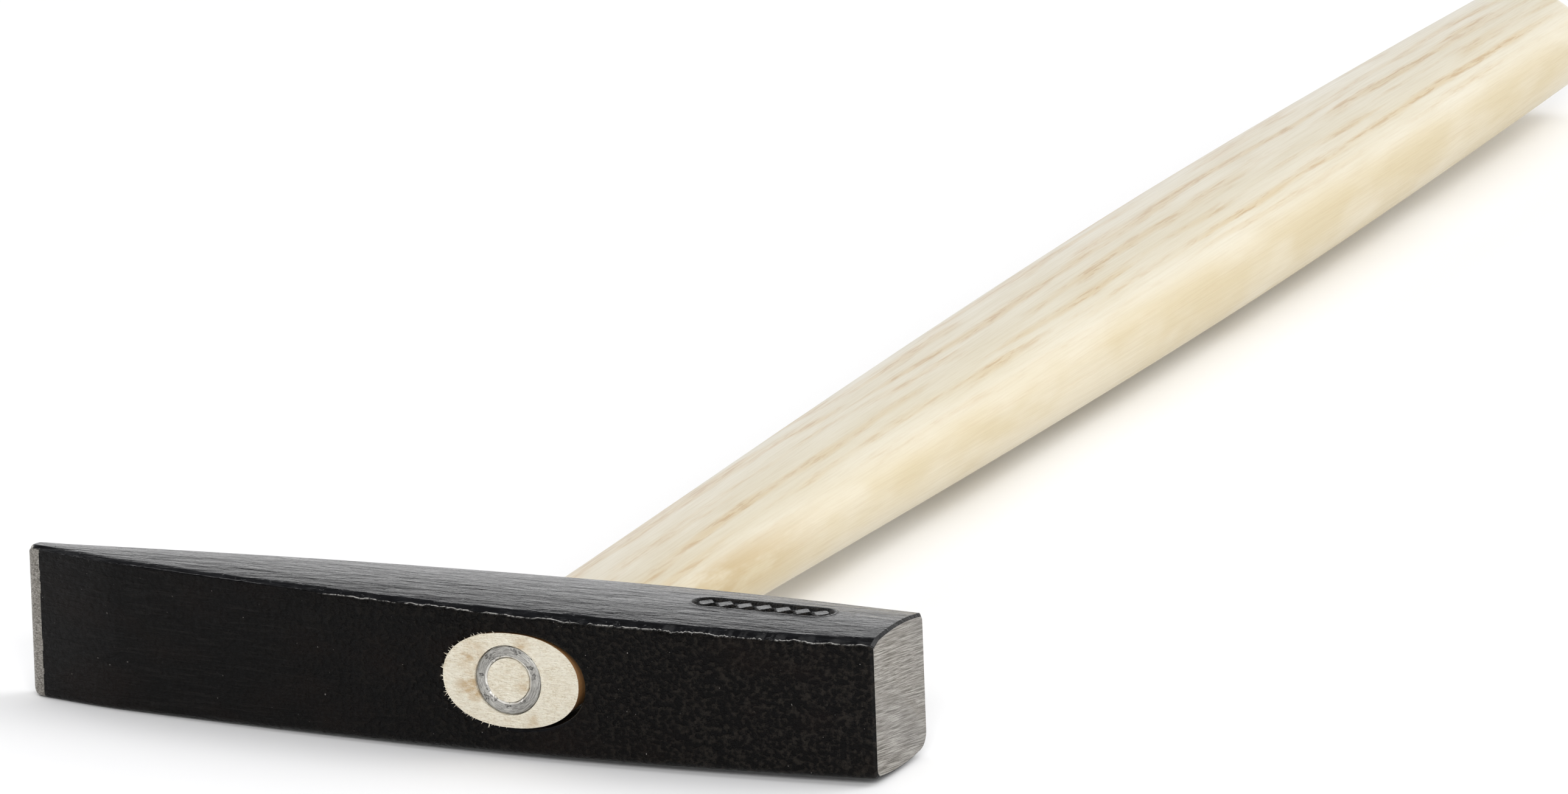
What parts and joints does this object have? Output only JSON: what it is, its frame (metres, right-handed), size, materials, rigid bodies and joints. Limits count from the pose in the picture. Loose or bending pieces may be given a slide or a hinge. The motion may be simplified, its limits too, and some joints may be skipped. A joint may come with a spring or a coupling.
{
  "type": "cross-pein hammer",
  "caption": "Slim forged cross-pein hammer head, black lacquered with ground face and pein, fixed to a straight oval ash handle by a steel ring wedge.",
  "frame": {"origin": "centre of the striking face", "axes": "+X out of the striking face, +Y along the handle from the head to the butt, +Z out of the upper cheek"},
  "size_m": [0.1319, 0.3605, 0.0218],
  "materials": {
    "head": "glossy black lacquer on forged steel, with a bare ground face and pein edge",
    "handle": "sanded ash with a thin satin lacquer",
    "ring_wedge": "bare steel with dents from driving"
  },
  "bodies": {
    "root": {"head": "head", "handle": "handle", "ring_wedge": "ring_wedge"}
  },
  "joints": []
}
